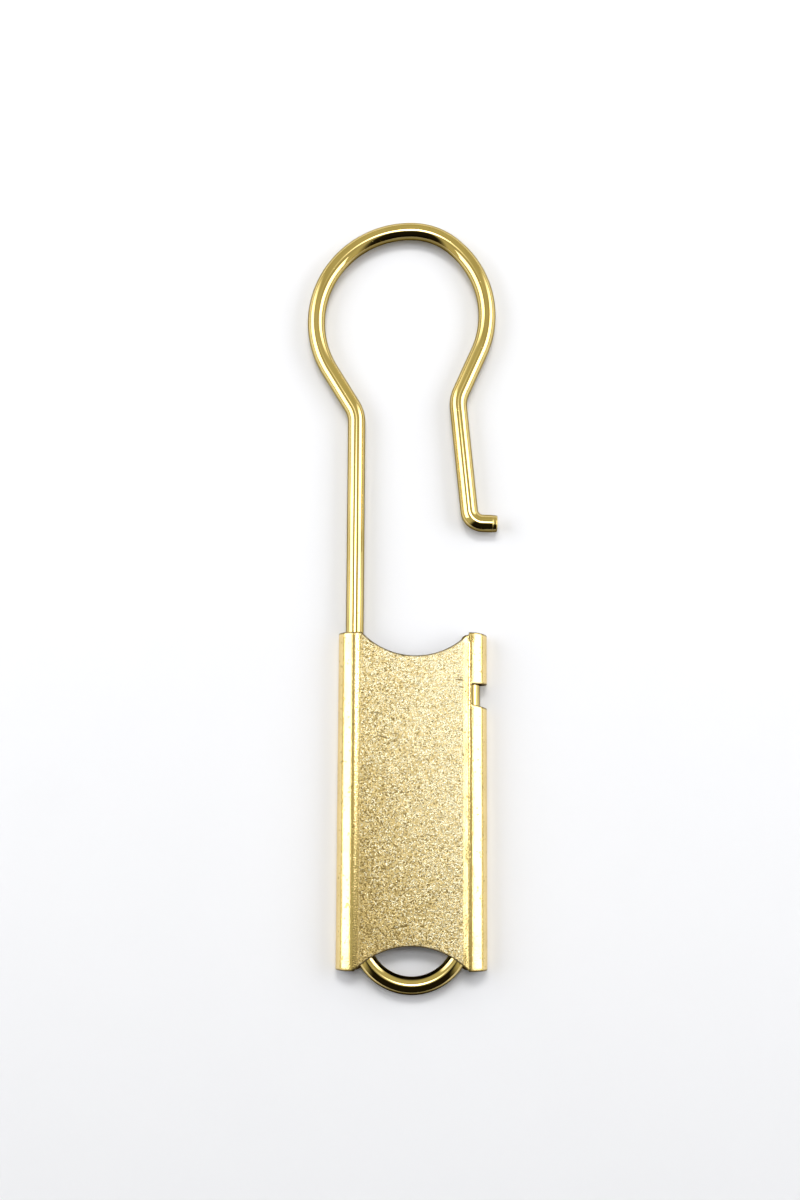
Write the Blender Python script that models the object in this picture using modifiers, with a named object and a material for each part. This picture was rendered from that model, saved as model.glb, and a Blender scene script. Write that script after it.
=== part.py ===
# Toggle key hook in brass: a spring wire hook and a folded sheet sheath that slides along it.
# It lies on its back. +X is to the right, +Y runs towards the hanging loop, +Z comes up out of
# the front plate. Sizes are metres. Drawing places are measured from the middle of the sheath's
# bottom edge, on the surface that the hook lies on.
import math

import bmesh
import bpy
import numpy as np

# Wire stock and the running fit of the wire in the sheath
wire_diameter = 0.0025
running_clearance = 0.000075
channel_side_gap = 0.00051
joint_gap = 0.0003

# Wire frame: two legs, the eye that joins them below, and the left side of the loop
leg_spacing = 0.01648
right_leg_height = 0.0430
eye_reach = 0.0033
eye_bottom_radius = 0.0072
eye_shoulder_radius = 0.0146
left_neck_height = 0.0773
left_neck_radius = 0.0055
left_neck_run = 0.00598
left_neck_angle = math.radians(31.6)
loop_left_radius = 0.01382

# Hook arm: the right side of the loop, the sprung arm and its outward tip
loop_crown_radius = 0.00948
loop_crown_turn = math.radians(38.5)
loop_right_radius = 0.01363
loop_right_turn = math.radians(75.3)
right_neck_run = 0.00592
right_neck_radius = 0.00693
arm_splay = math.radians(5.83)
arm_length = 0.01503
tip_radius = 0.0016
tip_reach = 0.00403

# Sheath: one folded sheet with a bead along each side
sheet_thickness = 0.0005
sheath_length = 0.04684
bead_rise = 0.00015
bead_crown_width = 0.00055
bead_step_width = 0.00065
flange_width = 0.0036

# Scalloped ends of the front plate
top_scallop_radius = 0.0104
top_scallop_depth = 0.00328
top_scallop_offset = 0.00035
bottom_scallop_radius = 0.0110
bottom_scallop_depth = 0.00334

# Notch in the right bead, which catches the tip
notch_drop = 0.0073
notch_height = 0.0028
notch_depth = 0.00225
notch_flare = 0.0005
notch_corner_radius = 0.0003

# Cutters reach past what they cut by this much
overrun = 0.001

# Fineness of curves
arc_step = math.radians(5)
tip_step = math.radians(10)
bead_step = math.radians(9)
scallop_sides = 144
wire_bevel_resolution = 8

# Derived sizes shared by the wire and the sheath
wire_radius = wire_diameter / 2
leg_x = leg_spacing / 2
wire_level = sheet_thickness + running_clearance + wire_radius
plate_back = sheet_thickness + 2 * running_clearance + wire_diameter
plate_front = plate_back + sheet_thickness
bead_top = plate_front + bead_rise
bead_radius = bead_top / 2
sheath_half_width = leg_x + wire_radius + channel_side_gap + sheet_thickness
bead_x = sheath_half_width - bead_radius
east = 0.0
north = math.pi / 2
south = -math.pi / 2


def straight(points, heading, length):
    """Carry the outline on in a straight line."""
    x, y = points[-1]
    points.append((x + length * math.cos(heading), y + length * math.sin(heading)))
    return heading


def bend(points, heading, radius, turn, step=arc_step):
    """Carry the outline on round an arc: a positive turn goes to the left."""
    side = math.copysign(1.0, turn)
    x, y = points[-1]
    centre_x = x - side * radius * math.sin(heading)
    centre_y = y + side * radius * math.cos(heading)
    count = max(1, math.ceil(abs(turn) / step))
    for angle in np.linspace(heading, heading + turn, count + 1)[1:]:
        points.append((
            centre_x + side * radius * math.sin(angle),
            centre_y - side * radius * math.cos(angle),
        ))
    return heading + turn


def wire_frame_route():
    """Right leg down, round the eye, up the left leg and over the left of the loop."""
    eye_turn = math.asin((eye_shoulder_radius - leg_x) / (eye_shoulder_radius - eye_bottom_radius))
    shoulder_turn = math.pi / 2 - eye_turn
    eye_bottom = wire_radius - eye_reach
    shoulder_drop = (eye_shoulder_radius - eye_bottom_radius) * math.cos(eye_turn)
    shoulder_height = eye_bottom + eye_bottom_radius + shoulder_drop
    points = [(leg_x, right_leg_height)]
    heading = straight(points, south, right_leg_height - shoulder_height)
    heading = bend(points, heading, eye_shoulder_radius, -shoulder_turn)
    heading = bend(points, heading, eye_bottom_radius, -2 * eye_turn)
    heading = bend(points, heading, eye_shoulder_radius, -shoulder_turn)
    straight(points, north, left_neck_height - shoulder_height)
    heading = bend(points, north, left_neck_radius, left_neck_angle)
    heading = straight(points, heading, left_neck_run)
    gap_turn = joint_gap / 2 / loop_left_radius
    bend(points, heading, loop_left_radius, gap_turn - north - left_neck_angle)
    return points


def crown_point():
    """Top of the loop, where the arm's spring movement is centred."""
    x = -leg_x - left_neck_radius * (1 - math.cos(left_neck_angle))
    y = left_neck_height + left_neck_radius * math.sin(left_neck_angle)
    x = x - left_neck_run * math.sin(left_neck_angle)
    y = y + left_neck_run * math.cos(left_neck_angle)
    x = x + loop_left_radius * math.cos(left_neck_angle)
    y = y + loop_left_radius * (1 + math.sin(left_neck_angle))
    return x, y


def hook_arm_route():
    """From the crown down the right of the loop, along the arm and out to the tip."""
    gap_turn = joint_gap / 2 / loop_crown_radius
    points = [crown_point()]
    heading = bend(points, east, loop_crown_radius, -gap_turn)
    points = points[-1:]
    heading = bend(points, heading, loop_crown_radius, gap_turn - loop_crown_turn)
    heading = bend(points, heading, loop_right_radius, -loop_right_turn)
    heading = straight(points, heading, right_neck_run)
    heading = bend(points, heading, right_neck_radius, south + arm_splay - heading)
    heading = straight(points, heading, arm_length)
    heading = bend(points, heading, tip_radius, -heading, tip_step)
    corner_reach = tip_radius * math.cos(arm_splay)
    straight(points, heading, tip_reach - corner_reach)
    return points


def sheath_section():
    """Middle line of the folded sheet seen along its length, from one flange edge to the other."""
    half_sheet = sheet_thickness / 2
    flange_x = sheath_half_width - flange_width
    points = [(flange_x, half_sheet)]
    straight(points, east, bead_x - flange_x)
    heading = bend(points, east, bead_radius - half_sheet, math.pi, bead_step)
    heading = straight(points, heading, bead_crown_width)
    step_turn = 2 * math.atan(bead_rise / bead_step_width)
    step_radius = bead_step_width / (2 * math.sin(step_turn))
    heading = bend(points, heading, step_radius, step_turn, bead_step)
    bend(points, heading, step_radius, -step_turn, bead_step)
    mirrored = [(-x, z) for x, z in reversed(points)]
    return points + mirrored


def notch_outline():
    """Open-ended slot: square at the top, flared at the bottom, round in its inner corners."""
    mouth_x = sheath_half_width + overrun
    inner_x = sheath_half_width - notch_depth
    top_y = sheath_length - notch_drop
    flare = math.atan(notch_flare / notch_depth)
    top_corner = notch_corner_radius
    bottom_corner = notch_corner_radius * math.tan(math.pi / 4 - flare / 2)
    points = [(mouth_x, top_y)]
    heading = straight(points, math.pi, mouth_x - inner_x - top_corner)
    heading = bend(points, heading, notch_corner_radius, math.pi / 2, tip_step)
    heading = straight(points, heading, notch_height - top_corner - bottom_corner)
    heading = bend(points, heading, notch_corner_radius, math.pi / 2 - flare, tip_step)
    run = (mouth_x - points[-1][0]) / math.cos(flare)
    straight(points, heading, run)
    return points


def origin_shift():
    """Middle of the whole hook's footprint, which becomes the part's origin."""
    route = np.array(wire_frame_route() + hook_arm_route()[:-1])
    tip_x = hook_arm_route()[-1][0]
    left = min(route[:, 0].min() - wire_radius, -sheath_half_width)
    right = max(route[:, 0].max() + wire_radius, tip_x, sheath_half_width)
    bottom = min(route[:, 1].min() - wire_radius, 0)
    top = max(route[:, 1].max() + wire_radius, sheath_length)
    return (left + right) / 2, (bottom + top) / 2


def clear_scene():
    for item in list(bpy.data.objects):
        bpy.data.objects.remove(item, do_unlink=True)


def new_collection(name):
    collection = bpy.data.collections.new(name)
    bpy.context.scene.collection.children.link(collection)
    return collection


def brass(name, color, roughness):
    """Bare brass: a metal whose colour is its own."""
    material = bpy.data.materials.new(name)
    material.use_nodes = True
    shader = material.node_tree.nodes["Principled BSDF"]
    shader.inputs["Base Color"].default_value = (*color, 1.0)
    shader.inputs["Metallic"].default_value = 1.0
    shader.inputs["Roughness"].default_value = roughness
    material.diffuse_color = (*color, 1.0)
    return material


def poly_curve(name, points, closed=False):
    """Curve object through flat points, in its own XY plane."""
    curve = bpy.data.curves.new(name, "CURVE")
    curve.dimensions = "2D" if closed else "3D"
    spline = curve.splines.new("POLY")
    spline.points.add(len(points) - 1)
    for knot, (x, y) in zip(spline.points, points):
        knot.co = (x, y, 0, 1)
    spline.use_cyclic_u = closed
    spline.use_smooth = True
    return bpy.data.objects.new(name, curve)


def round_wire(name, route, origin, collection):
    """Solid wire along a flat route, with its own origin at the given drawing place."""
    origin_x, origin_y = origin
    wire = poly_curve(name, [(x - origin_x, y - origin_y) for x, y in route])
    wire.data.bevel_depth = wire_radius
    wire.data.bevel_resolution = wire_bevel_resolution
    wire.data.use_fill_caps = True
    collection.objects.link(wire)
    return wire


def as_mesh(source, collection):
    """Closed mesh with the shape and place of a curve object, which it replaces."""
    bpy.context.view_layer.update()
    evaluated = source.evaluated_get(bpy.context.evaluated_depsgraph_get())
    mesh = bpy.data.meshes.new_from_object(evaluated)
    work = bmesh.new()
    work.from_mesh(mesh)
    bmesh.ops.remove_doubles(work, verts=work.verts, dist=wire_radius / 10000)
    bmesh.ops.recalc_face_normals(work, faces=work.faces)
    work.to_mesh(mesh)
    work.free()
    name = source.name
    place = source.matrix_world.copy()
    bpy.data.objects.remove(source, do_unlink=True)
    mesh.name = name
    result = bpy.data.objects.new(name, mesh)
    result.matrix_world = place
    collection.objects.link(result)
    return result


def folded_sheet(collection):
    """The sheath before it is cut: its section drawn as a curve, extruded and given its wall."""
    sheet = poly_curve("sheath", sheath_section())
    sheet.data.extrude = sheath_length / 2
    sheet.rotation_euler = (math.pi / 2, 0, 0)
    sheet.location = (0, sheath_length / 2, 0)
    wall = sheet.modifiers.new("wall", "SOLIDIFY")
    wall.thickness = sheet_thickness
    wall.offset = 0
    wall.use_even_offset = True
    collection.objects.link(sheet)
    return as_mesh(sheet, collection)


def scallop_cutter(name, radius, depth, edge_y, inward, offset, collection):
    """Round bar that takes a shallow bay out of one end of the front plate only."""
    bar_bottom = wire_level
    bar_top = bead_top + overrun
    bpy.ops.mesh.primitive_cylinder_add(
        vertices=scallop_sides,
        radius=radius,
        depth=bar_top - bar_bottom,
        location=(offset, edge_y + inward * (depth - radius), (bar_top + bar_bottom) / 2),
    )
    bar = bpy.context.object
    bar.name = name
    for holder in list(bar.users_collection):
        holder.objects.unlink(bar)
    collection.objects.link(bar)
    return bar


def notch_cutter(collection):
    """Slot punch that passes through the front, the side and the back of the right bead."""
    punch = poly_curve("notch_cutter", notch_outline(), closed=True)
    punch.data.fill_mode = "BOTH"
    punch.data.extrude = bead_radius + overrun
    punch.location = (0, 0, bead_radius)
    collection.objects.link(punch)
    return as_mesh(punch, collection)


def cut(target, cutter):
    cutter.hide_render = True
    cutter.display_type = "WIRE"
    cutter.parent = target
    cutter.matrix_parent_inverse = target.matrix_world.inverted()
    step = target.modifiers.new(cutter.name, "BOOLEAN")
    step.operation = "DIFFERENCE"
    step.solver = "EXACT"
    step.object = cutter


def build_sheath(parts, cutters):
    """Folded sheath with both ends scalloped and the catch notch cut."""
    sheath = folded_sheet(parts)
    sheath.data.shade_smooth()
    sheath.data.set_sharp_from_angle(angle=math.radians(30))
    sheath.data.materials.append(brass("sheath_brass", (0.80, 0.64, 0.36), 0.34))
    cut(sheath, scallop_cutter(
        "top_scallop_cutter", top_scallop_radius, top_scallop_depth,
        sheath_length, -1, top_scallop_offset, cutters,
    ))
    cut(sheath, scallop_cutter(
        "bottom_scallop_cutter", bottom_scallop_radius, bottom_scallop_depth,
        0, 1, 0, cutters,
    ))
    cut(sheath, notch_cutter(cutters))
    return sheath


def build_wire_frame(parts):
    """Legs, eye and left side of the loop, with their origin on the slide's line."""
    frame = round_wire("wire_frame", wire_frame_route(), (0, 0), parts)
    frame.data.materials.append(brass("wire_frame_brass", (0.72, 0.60, 0.28), 0.16))
    return frame


def build_hook_arm(parts):
    """Sprung side of the loop, with its origin at the crown that it flexes about."""
    arm = round_wire("hook_arm", hook_arm_route(), crown_point(), parts)
    arm.data.materials.append(brass("hook_arm_brass", (0.72, 0.60, 0.28), 0.16))
    return arm


def main():
    clear_scene()
    parts = new_collection("toggle_keyring")
    cutters = new_collection("cutters")
    shift_x, shift_y = origin_shift()
    crown_x, crown_y = crown_point()

    sheath = build_sheath(parts, cutters)
    place = bpy.data.objects.new("drawing_origin", None)
    parts.objects.link(place)
    sheath.parent = place

    frame = build_wire_frame(parts)
    frame.parent = place
    frame.location = (0, 0, wire_level)

    arm = build_hook_arm(parts)
    arm.parent = frame
    arm.location = (crown_x, crown_y, 0)

    place.location = (-shift_x, -shift_y, 0)
    bpy.context.view_layer.update()

    travel = hook_arm_route()[-1][1] - (sheath_length - notch_drop - notch_height / 2)
    print("slide travel to the latched place", round(travel, 6))
    print("crown", [round(value, 6) for value in arm.matrix_world.translation])
    print("sheath bottom middle", [round(value, 6) for value in place.matrix_world.translation])


main()
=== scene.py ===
# Toggle key hook in brass, dressed for its picture: the folded sheath as a fine sheet with rolled
# edges, the drawn wire as two smooth tubes, and a small light tent with two windows, a top light and
# a lamp beyond the loop.
# Metres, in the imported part's own frame. Drawing places count from the middle of the sheath's
# bottom edge, as the part's source does.
import math

import bpy
import numpy as np
from mathutils import Matrix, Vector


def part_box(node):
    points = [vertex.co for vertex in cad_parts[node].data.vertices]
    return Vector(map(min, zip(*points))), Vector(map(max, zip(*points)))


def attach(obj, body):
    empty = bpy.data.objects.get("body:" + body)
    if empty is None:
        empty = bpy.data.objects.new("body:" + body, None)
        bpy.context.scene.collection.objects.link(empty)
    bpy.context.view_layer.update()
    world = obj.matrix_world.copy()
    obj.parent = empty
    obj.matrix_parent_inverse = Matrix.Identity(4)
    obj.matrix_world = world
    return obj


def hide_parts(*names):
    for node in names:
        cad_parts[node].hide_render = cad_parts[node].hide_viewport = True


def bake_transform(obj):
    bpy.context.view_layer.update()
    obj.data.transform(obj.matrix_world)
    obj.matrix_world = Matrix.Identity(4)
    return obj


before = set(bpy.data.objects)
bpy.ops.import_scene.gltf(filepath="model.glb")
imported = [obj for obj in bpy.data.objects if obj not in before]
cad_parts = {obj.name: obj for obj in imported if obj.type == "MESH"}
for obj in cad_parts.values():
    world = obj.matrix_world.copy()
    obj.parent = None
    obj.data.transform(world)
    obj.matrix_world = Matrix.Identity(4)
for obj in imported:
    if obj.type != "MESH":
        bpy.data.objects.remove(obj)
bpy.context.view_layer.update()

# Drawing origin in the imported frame: the sheath's middle and bottom, and the surface it lies on
sheathLow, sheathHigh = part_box("sheath")
drawingOrigin = np.array([(sheathLow.x + sheathHigh.x) / 2, sheathLow.y, 0.0])
print("frame loaded, drawing origin", drawingOrigin.round(6))


# Shared helpers

tiny = 1e-9  # keeps a comparison clear of rounding
traceSteps = 60001  # places worked out along a line or a route
edgeShares = np.array([0.0, 0.08, 0.29, 0.62, 1.0])  # close rows over the round of a cut edge


def smoothStep(value):
    # three times the square less twice the cube, of a share held between 0 and 1
    share = np.clip(value, 0.0, 1.0)
    return share * share * (3.0 - 2.0 * share)


def above(value, ease):
    # share of the way past a place, over the given length
    return (value - ease[0]) / ease[1]


def below(value, ease):
    # the same, on the near side of the place
    return (ease[0] - value) / ease[1]


def softNoise(x, y, seed, scale, waves=7):
    # sum of a few sine waves with fixed random directions, lengths near scale, about -1 to 1
    random = np.random.default_rng(seed)
    total = np.zeros(np.broadcast(x, y).shape)
    for _ in range(waves):
        angle = random.uniform(0.0, 2.0 * math.pi)
        length = scale * random.uniform(0.6, 1.7)
        phase = random.uniform(0.0, 2.0 * math.pi)
        total += np.sin(2.0 * math.pi * (x * math.cos(angle) + y * math.sin(angle)) / length + phase)
    return total / math.sqrt(waves * 2.0)


def traceLine(lengths, headings):
    # places along a line whose heading changes evenly over each length: cosine and sine, summed
    ends = np.concatenate([[0.0], np.cumsum(lengths)])
    along = np.linspace(0.0, ends[-1], traceSteps)
    heading = np.interp(along, ends, headings)
    step = np.diff(along)
    middle = (heading[1:] + heading[:-1]) / 2
    across = np.concatenate([[0.0], np.cumsum(np.cos(middle) * step)])
    height = np.concatenate([[0.0], np.cumsum(np.sin(middle) * step)])
    return ends, along, heading, across, height


def roundHeight(radius, away):
    # how high a round stands over a place that lies this far from its middle
    return np.sqrt(np.maximum(radius ** 2 - away ** 2, 0.0))


def roundedEdge(distance, half, radius):
    # half thickness of a sheet near its edge: a quarter round of the given radius, then flat
    inside = radius - np.clip(distance, 0.0, radius)
    return half - radius + roundHeight(radius, inside)


def closedRows(count, sides):
    # numbers of points in rows, each of which comes round to its own first point
    number = np.arange(count * sides).reshape(count, sides)
    return np.concatenate([number, number[:, :1]], axis=1)


def cellQuads(number):
    # the four corners of every cell in a grid of numbered points
    quads = np.stack([number[:-1, :-1], number[:-1, 1:], number[1:, 1:], number[1:, :-1]], axis=-1)
    return quads.reshape(-1, 4)


def borderLine(number):
    # the numbers round the border of a grid, back to the first of them
    return np.concatenate([number[:-1, 0], number[-1, :-1], number[:0:-1, -1], number[0, :0:-1],
                           number[:1, 0]])


def stripQuads(first, second):
    # one cell between each pair of neighbours along two lines of numbered points
    return np.stack([first[:-1], first[1:], second[1:], second[:-1]], axis=-1)


def makePiece(name, points, quads, triangles=None, attributes=None):
    # mesh from whole arrays: loose points that no face uses are left out
    faces = quads.reshape(-1)
    sizes = np.full(len(quads), 4)
    if triangles is not None:
        faces = np.concatenate([faces, triangles.reshape(-1)])
        sizes = np.concatenate([sizes, np.full(len(triangles), 3)])
    used, faces = np.unique(faces, return_inverse=True)
    mesh = bpy.data.meshes.new(name)
    mesh.vertices.add(len(used))
    mesh.vertices.foreach_set("co", points[used].astype(np.float32).ravel())
    mesh.loops.add(len(faces))
    mesh.loops.foreach_set("vertex_index", faces.astype(np.int32).ravel())
    mesh.polygons.add(len(sizes))
    mesh.polygons.foreach_set("loop_start", (np.cumsum(sizes) - sizes).astype(np.int32))
    mesh.update(calc_edges=True)
    mesh.validate()
    for label, values in (attributes or {}).items():
        kind = "FLOAT_VECTOR" if values.ndim == 2 else "FLOAT"
        field = "vector" if values.ndim == 2 else "value"
        layer = mesh.attributes.new(label, kind, "POINT")
        layer.data.foreach_set(field, values[used].astype(np.float32).ravel())
    mesh.shade_smooth()
    piece = bpy.data.objects.new(name, mesh)
    bpy.context.scene.collection.objects.link(piece)
    print(name, len(used), "points", len(sizes), "faces")
    return piece


# Folded sheath

sheathSheet = {
    "length": 0.04684,
    "thickness": 0.0004,
    "halfWidth": 0.0105,
    "flangeWidth": 0.0036,
    # Outer face of each bead, from the plate's edge to its widest place: length, then the heading in
    # degrees that it ends at. The plate's own edge has the first heading.
    "rightBead": {
        "crown": 0.0038,
        "plateTurn": 3.5,
        "plateCurve": 2.0,
        "knots": ((0.00024, 18.5), (0.00056, 20.0), (0.00018, 0.0), (0.00037, -16.0),
                  (0.00147, -34.0), (0.00189, -90.0)),
    },
    "leftBead": {
        "crown": 0.0037,
        "plateTurn": 2.6,
        "plateCurve": 1.0,
        "knots": ((0.00014, 5.0), (0.00020, 4.0), (0.00014, 0.0), (0.00064, -16.0),
                  (0.00116, -34.0), (0.00204, -90.0)),
    },
    "edgeRound": 0.00012,
    "endDrop": (0.00007, 0.00028),  # left, right: how far a bead's side falls back
    "bottomDrop": 0.00008,
    "dropFrom": 0.0086,  # where that starts, and the way it takes
    "dropReach": 0.0019,
    "topScallop": (0.0104, 0.00328, 0.00035),  # radius, depth, offset
    "bottomScallop": (0.0110, 0.00334, 0.0),
    "lip": (0.00815, 0.00029, 0.38),  # where the top bay stops short, its drop and slope
    "lipSide": 0.005,
    "lipColumns": (0.00016, 0.00008, 0.0),
    "notchDrop": 0.0073,
    "notchHeight": 0.0028,
    "notchDepth": 0.00225,
    "notchFlare": 0.0005,
    "notchCorner": 0.00030,
    "notchColumns": (0.04, 0.13, 0.29, 0.5, 0.75, 1.0),
    "notchEase": 0.0012,  # how far outside it the rows come level again
    "flangeCorner": 0.00085,
    "rows": (85, 12, 17),  # below, across and above the notch
    "columnLength": 0.00017,
    "columnTurn": math.radians(5.0),
    "columnGap": 0.00006,
    "plateSteps": 8,
    "satinLeft": (0.0001, 0.0004),  # how the satin ends at each bead: shift and way
    "satinRight": (0.0003, 0.0005),
    "wearReach": 0.00022,
    "cutReach": 0.00017,
}

# A hand-folded sheet isn't quite straight. Waves are given by seed, length and share.
handFold = {
    "plateBow": 0.00004,
    "bowWaves": ((11, 0.021, 0.5), (12, 0.009, 0.16)),
    "plateSide": (0.0072, 0.0020),  # where the plate's bow ends, and over what way
    "sideWaver": 0.000012,
    "sideWaves": (13, 0.012, 0.3),
    "beadSide": (0.0078, 0.0020),
    "seamWaver": 0.00005,  # the line where the right bead leaves the plate
    "seamWaves": (14, 0.0035, 0.2),
    "seamPlace": (0.0081, 0.0008),
    "seamFlare": 0.00022,
    "flareFrom": (0.0450, 0.0011),
    "cornerLift": 0.00006,  # the plate's lower corners clear the wire below
    "liftBelow": (0.0040, 0.0025),
    "liftFrom": (0.0035, 0.0020),
    "liftTo": (0.0076, 0.0010),
}


def halfSection(bead):
    # Half the fold's outer face, from the plate's middle over the bead and round to the flange's
    # edge. The plate's heading grows as a power of the way across. The round under the bead makes up
    # the crown's height, and the plate the width. The middle line lies half a thickness inside.
    s = sheathSheet
    lengths = [length for length, turn in bead["knots"]]
    turns = [turn for length, turn in bead["knots"]]
    _, _, _, reach, rise = traceLine(lengths, np.radians([bead["plateTurn"]] + turns))
    underBend = bead["crown"] - (rise.max() - rise[-1])
    steps = s["plateSteps"]
    plateTurns = bead["plateTurn"] * np.linspace(0.0, 1.0, steps + 1) ** bead["plateCurve"]
    plate = (s["halfWidth"] - reach[-1]) / np.cos(np.radians(plateTurns)).mean()
    under = [underBend * math.pi / 2, s["flangeWidth"] - underBend]
    lengths = [plate / steps] * steps + lengths + under
    headings = np.radians(np.concatenate([plateTurns, turns, [-180.0, -180.0]]))
    ends, along, heading, across, height = traceLine(lengths, headings)
    height -= height[-1]
    columns = []
    for a, b, turn in zip(ends[:-1], ends[1:], np.abs(np.diff(headings))):
        count = max(math.ceil((b - a) / s["columnLength"]), math.ceil(turn / s["columnTurn"]))
        columns.append(np.linspace(a, b, count, endpoint=False))
    columns.append(ends[-1] - s["edgeRound"] * edgeShares[::-1])
    return {"plateEnd": ends[steps], "along": along, "heading": heading, "across": across,
            "height": height, "columns": np.concatenate(columns)}


def withColumns(columns, wanted):
    # wanted places take the place of any column that lies too near to one of them
    near = np.abs(columns[:, None] - wanted[None, :]).min(axis=1) < sheathSheet["columnGap"]
    return np.sort(np.concatenate([columns[~near], wanted]))


def sectionColumns():
    # The two halves side by side, left flange to right flange, with extra columns where the notch
    # and the bays begin and end, so that their outlines fall on them.
    s = sheathSheet
    right = halfSection(s["rightBead"])
    left = halfSection(s["leftBead"])
    share = np.clip(1.0 - left["along"] / left["plateEnd"], 0.0, 1.0)
    left["height"] = left["height"] + (right["height"][0] - left["height"][0]) * share
    widest = np.argmax(right["across"])
    inner = s["halfWidth"] - s["notchDepth"]
    frontEdge = np.interp(inner, right["across"][:widest], right["along"][:widest])
    backEdge = np.interp(-inner, -right["across"][widest:], right["along"][widest:])
    edge = s["edgeRound"] * edgeShares[:0:-1]
    corner = s["notchCorner"] * np.array(s["notchColumns"])
    offsets = np.concatenate([-edge, [0.0], corner])
    bayEnds = s["lip"][0] - np.array(s["lipColumns"])
    bayEnds = np.interp(bayEnds, right["across"][:widest], right["along"][:widest])
    columns = withColumns(right["columns"], bayEnds)
    columns = withColumns(columns, np.concatenate([frontEdge + offsets, backEdge - offsets]))
    otherColumns = left["columns"][:0:-1]
    section = {"along": np.concatenate([-otherColumns, columns])}
    for key in ("across", "height", "heading"):
        section[key] = np.concatenate([np.interp(otherColumns, left["along"], left[key]),
                                       np.interp(columns, right["along"], right[key])])
    side = np.sign(section["along"] + tiny)
    section["outX"] = -side * np.sin(section["heading"])
    section["outZ"] = np.cos(section["heading"])
    section["faceX"] = side * section["across"]
    section["x"] = section["faceX"] - s["thickness"] / 2 * section["outX"]
    section["z"] = section["height"] - s["thickness"] / 2 * section["outZ"]
    section["front"] = section["z"] > s["rightBead"]["crown"] / 2
    section["notchFrom"], section["notchTo"] = frontEdge, backEdge
    section["plateFrom"], section["plateTo"] = -left["plateEnd"], right["plateEnd"]
    return section


def sheathEnds(section):
    # How far each column reaches: square at the beads and the back, and a shallow round bay where
    # the front plate ends. The top bay stops short of the right bead in a small lip. Beads fall
    # back round their sides, as tumbling leaves them.
    s = sheathSheet
    x = section["faceX"]
    front = section["front"]
    sideTurn = np.clip((np.abs(x) - s["dropFrom"]) / s["dropReach"], 0.0, 1.0) ** 2
    drop = np.where(x < 0.0, s["endDrop"][0], s["endDrop"][1]) * sideTurn
    endLine = s["length"] - drop
    bottom = s["bottomDrop"] * sideTurn
    radius, depth, offset = s["topScallop"]
    bay = s["length"] - depth + radius - roundHeight(radius, x - offset)
    lipEnd, lipDrop, lipSlope = s["lip"]
    lip = np.where(x < lipEnd, s["length"] - lipDrop - lipSlope * (lipEnd - x), endLine)
    lip = np.where(x > s["lipSide"], lip, endLine)
    top = np.where(front, np.minimum(np.minimum(endLine, bay), lip), endLine)
    radius, depth, offset = s["bottomScallop"]
    bay = depth - radius + roundHeight(radius, x - offset)
    bottom = np.where(front, np.maximum(bottom, bay), bottom)
    # the flanges' corners are quarter rounds
    along = section["along"]
    corner = s["flangeCorner"]
    toCorner = corner - np.clip(np.minimum(along - along[0], along[-1] - along), 0.0, corner)
    cutBack = corner - roundHeight(corner, toCorner)
    bottom = bottom + cutBack
    top = top - cutBack
    return bottom, top


def notchLines(section):
    # How far each column lies inside the notch, and the notch's lower and upper edge there, flat and
    # then rounded into the two inner corners. Outside it they ease back to level lines.
    s = sheathSheet
    inside = np.minimum(section["along"] - section["notchFrom"], section["notchTo"] - section["along"])
    corner = s["notchCorner"]
    toCorner = corner - np.clip(inside, 0.0, corner)
    lift = corner - roundHeight(corner, toCorner)
    lift = np.where(inside < 0.0, corner * (1.0 - smoothStep(-inside / s["notchEase"])), lift)
    flare = np.clip(section["faceX"] - (s["halfWidth"] - s["notchDepth"]), 0.0, s["notchDepth"])
    flare = flare * s["notchFlare"] / s["notchDepth"]
    upper = s["length"] - s["notchDrop"]
    lower = upper - s["notchHeight"] - flare
    return {"inside": inside, "flatLower": lower, "flatUpper": upper,
            "lower": lower + lift, "upper": upper - lift}


def rowPlaces(start, end, count, edge):
    # Rows between two lines, with a few close ones at each end where the edge is rounded.
    near = edge * edgeShares
    share = np.linspace(0.0, 1.0, count)[1:-1]
    low = start[:, None] + near[None, :]
    high = end[:, None] - near[None, ::-1]
    between = low[:, -1:] + (high[:, :1] - low[:, -1:]) * share[None, :]
    return np.concatenate([low, between, high], axis=1)


def sheathWarp(x, y, front):
    # Shift sideways and lift of each point: the plate bows on two sums of waves, the beads' sides and
    # the seam waver along their length, the seam flares at its top, and the lower corners lift.
    h = handFold
    wide = np.abs(x)
    onPlate = smoothStep(below(wide, h["plateSide"])) * front
    bow = sum(softNoise(x, y, seed, length) * share for seed, length, share in h["bowWaves"])
    seed, length, slant = h["sideWaves"]
    waver = smoothStep(above(wide, h["beadSide"])) * h["sideWaver"]
    waver = waver * softNoise(y * slant, y, seed, length)
    seed, length, slant = h["seamWaves"]
    place, reach = h["seamPlace"]
    seam = smoothStep(1.0 - np.abs(x - place) / reach) * front
    flare = h["seamFlare"] * smoothStep(above(y, h["flareFrom"]))
    seamShift = seam * (h["seamWaver"] * softNoise(y * slant, y, seed, length) - flare)
    corner = smoothStep(below(y, h["liftBelow"])) * smoothStep(above(wide, h["liftFrom"]))
    lift = onPlate * h["plateBow"] * bow
    lift += h["cornerLift"] * corner * smoothStep(below(wide, h["liftTo"])) * front
    return np.sign(x) * waver + seamShift, lift


def endDistance(section, y, plain, bay, middleY):
    # distance to an end of the sheet, or on the front to its round bay where that is nearer. The
    # bay's middle lies beyond the end.
    radius, _, offset = bay
    toBay = np.hypot(section["faceX"][:, None] - offset, y - middleY) - radius
    nearer = np.minimum(plain, np.maximum(toBay, 0.0))
    return np.where(section["front"][:, None], nearer, plain)


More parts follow.
